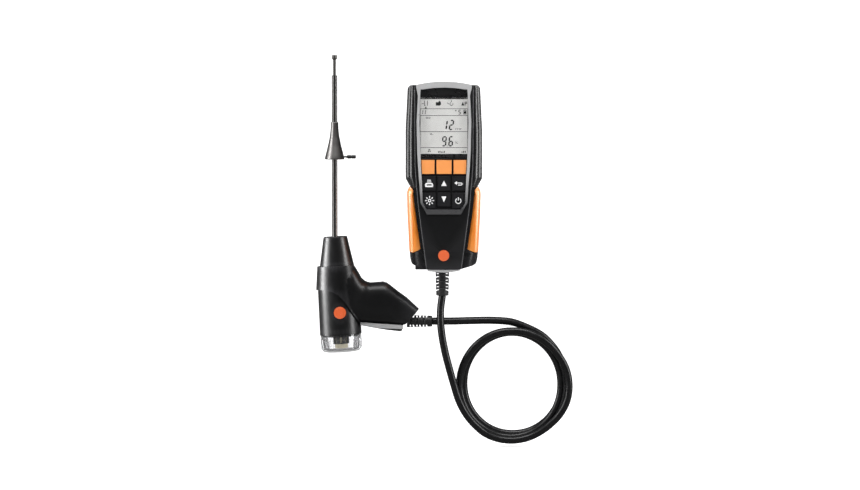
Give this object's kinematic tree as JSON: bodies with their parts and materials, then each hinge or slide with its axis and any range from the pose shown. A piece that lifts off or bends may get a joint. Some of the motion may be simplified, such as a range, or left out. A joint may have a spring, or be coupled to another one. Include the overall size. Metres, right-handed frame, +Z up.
{
  "type": "flue-gas analyser",
  "caption": "Hand-held flue-gas analyser with display and keypad, joined by a coiled hose to a probe handle with a clear filter cap, a steel probe tube and a sliding stop cone.",
  "frame": {"origin": "centre of the lower rear magnet's face, on the plane that rests on a steel surface", "axes": "+X to the right seen from the front, +Y out of the back, +Z up along the instrument and the probe tube"},
  "size_m": [0.273, 0.0474, 0.4129],
  "materials": {
    "housing_black": "satin with glossy side rails",
    "orange_rubber": "soft satin",
    "silver_plastic": "satin silver",
    "clear_plastic": "polished",
    "black_print": "printed",
    "lcd": "grey-green",
    "white_plastic": "matte",
    "deck_black": "satin",
    "grey_silicone": "matte",
    "board_green": "solder resist",
    "chip_black": "matte",
    "plated_steel": "plated",
    "dark_red_plastic": "polished",
    "blue_wrap": "shrink wrap",
    "ivory_plastic": "matte",
    "blue_plastic": "matte",
    "clear_silicone": "matte",
    "trap_plastic": "clear",
    "nickel": "plated",
    "steel_screws": "plated",
    "badge_orange": "gloss",
    "grey_plastic": "satin",
    "orange_key": "satin",
    "black_key": "satin with white symbols",
    "plug_black": "matte",
    "hose_rubber": "satin",
    "handle_black": "satin",
    "cover_grey": "satin",
    "stainless": "satin",
    "gland_brass": "machined",
    "carrier_black": "matte",
    "filter_felt": "felt",
    "seal_rubber": "matte",
    "cap_clear": "clear moulded"
  },
  "bodies": {
    "instrument": {"front_shell": "housing_black", "rear_shell": "housing_black", "left_grip": "orange_rubber", "right_grip": "orange_rubber", "bezel": "silver_plastic", "display_window": "clear_plastic", "display_mask": "black_print", "lcd_panel": "lcd", "backlight": "white_plastic", "keypad_deck": "deck_black", "keypad_mat": "grey_silicone", "main_board": "board_green", "processor_chip": "chip_black", "usb_socket": "plated_steel", "infrared_window": "dark_red_plastic", "battery_pack": "blue_wrap", "gas_pump": "chip_black", "pump_motor": "plated_steel", "sensor_block": "ivory_plastic", "oxygen_cell": "ivory_plastic", "carbon_monoxide_cell": "blue_plastic", "draught_sensor": "chip_black", "pump_hose": "clear_silicone", "condensate_trap": "trap_plastic", "rear_magnets": "nickel", "housing_screws": "steel_screws", "body_badge": "badge_orange", "hose_outlet_plate": "grey_plastic", "instrument_boot": "plug_black"},
    "function_key_left": {"function_key_left": "orange_key"},
    "function_key_middle": {"function_key_middle": "orange_key"},
    "function_key_right": {"function_key_right": "orange_key"},
    "print_key": {"print_key": "black_key"},
    "light_key": {"light_key": "black_key"},
    "up_key": {"up_key": "black_key"},
    "down_key": {"down_key": "black_key"},
    "escape_key": {"escape_key": "black_key"},
    "power_key": {"power_key": "black_key"},
    "drain_plug": {"drain_plug": "plug_black"},
    "hose": {"hose": "hose_rubber"},
    "probe_handle": {"nose_cone": "handle_black", "barrel": "handle_black", "grip_front_half": "handle_black", "grip_rear_half": "handle_black", "grip_base_cover": "cover_grey", "grip_foot": "plug_black", "handle_badge": "badge_orange", "probe_tube": "stainless", "thermocouple": "stainless", "tube_gland": "gland_brass", "filter_carrier": "carrier_black", "particle_filter": "filter_felt", "handle_boot": "plug_black", "grip_screws": "steel_screws"},
    "cap_ring": {"cap_seal": "seal_rubber"},
    "filter_cap": {"filter_cap": "cap_clear"},
    "stop_cone": {"stop_cone": "stainless"},
    "clamp_screw": {"clamp_screw": "stainless", "clamp_knob": "handle_black"}
  },
  "joints": [
    {"name": "function_key_left_press", "type": "slide", "parent": "instrument", "child": "function_key_left", "axis": [0, 1, 0], "range_m": [0, 0.0008], "stiffness_N_per_m": 400},
    {"name": "function_key_middle_press", "type": "slide", "parent": "instrument", "child": "function_key_middle", "axis": [0, 1, 0], "range_m": [0, 0.0008], "stiffness_N_per_m": 400},
    {"name": "function_key_right_press", "type": "slide", "parent": "instrument", "child": "function_key_right", "axis": [0, 1, 0], "range_m": [0, 0.0008], "stiffness_N_per_m": 400},
    {"name": "print_key_press", "type": "slide", "parent": "instrument", "child": "print_key", "axis": [0, 1, 0], "range_m": [0, 0.0008], "stiffness_N_per_m": 400},
    {"name": "light_key_press", "type": "slide", "parent": "instrument", "child": "light_key", "axis": [0, 1, 0], "range_m": [0, 0.0008], "stiffness_N_per_m": 400},
    {"name": "up_key_press", "type": "slide", "parent": "instrument", "child": "up_key", "axis": [0, 1, 0], "range_m": [0, 0.0008], "stiffness_N_per_m": 400},
    {"name": "down_key_press", "type": "slide", "parent": "instrument", "child": "down_key", "axis": [0, 1, 0], "range_m": [0, 0.0008], "stiffness_N_per_m": 400},
    {"name": "escape_key_press", "type": "slide", "parent": "instrument", "child": "escape_key", "axis": [0, 1, 0], "range_m": [0, 0.0008], "stiffness_N_per_m": 400},
    {"name": "power_key_press", "type": "slide", "parent": "instrument", "child": "power_key", "axis": [0, 1, 0], "range_m": [0, 0.0008], "stiffness_N_per_m": 400},
    {"name": "drain_plug_pull", "type": "slide", "parent": "instrument", "child": "drain_plug", "axis": [0, 0, -1], "range_m": [0, 0.01], "stiffness_N_per_m": 10, "springref_m": -0.008},
    {"name": "hose_swing", "type": "hinge", "parent": "instrument", "child": "hose", "pos_m": [-0.0016, -0.026, -0.1253], "axis": [0, 1, 0], "range_deg": [-15, 5], "stiffness_Nm_per_rad": 2, "springref_deg": 3.78},
    {"name": "handle_swing", "type": "hinge", "parent": "hose", "child": "probe_handle", "pos_m": [-0.0133, -0.022, -0.1539], "axis": [0, 1, 0], "range_deg": [-18, 6], "stiffness_Nm_per_rad": 1, "springref_deg": 8.94},
    {"name": "cap_turn", "type": "hinge", "parent": "probe_handle", "child": "cap_ring", "pos_m": [-0.10948, -0.022, -0.16964], "axis": [0.0558, 0, -0.9984], "range_deg": [0, 30]},
    {"name": "cap_pull", "type": "slide", "parent": "cap_ring", "child": "filter_cap", "axis": [0.0558, 0, -0.9984], "range_m": [0, 0.025], "stiffness_N_per_m": 10, "springref_m": -0.02},
    {"name": "cone_slide", "type": "slide", "parent": "probe_handle", "child": "stop_cone", "axis": [0, 0, 1], "range_m": [-0.08, 0.048], "stiffness_N_per_m": 1, "springref_m": 0.344},
    {"name": "clamp_turn", "type": "hinge", "parent": "stop_cone", "child": "clamp_screw", "pos_m": [-0.1031, -0.022, 0.0209], "axis": [1, 0, 0], "range_deg": [0, 540]}
  ]
}
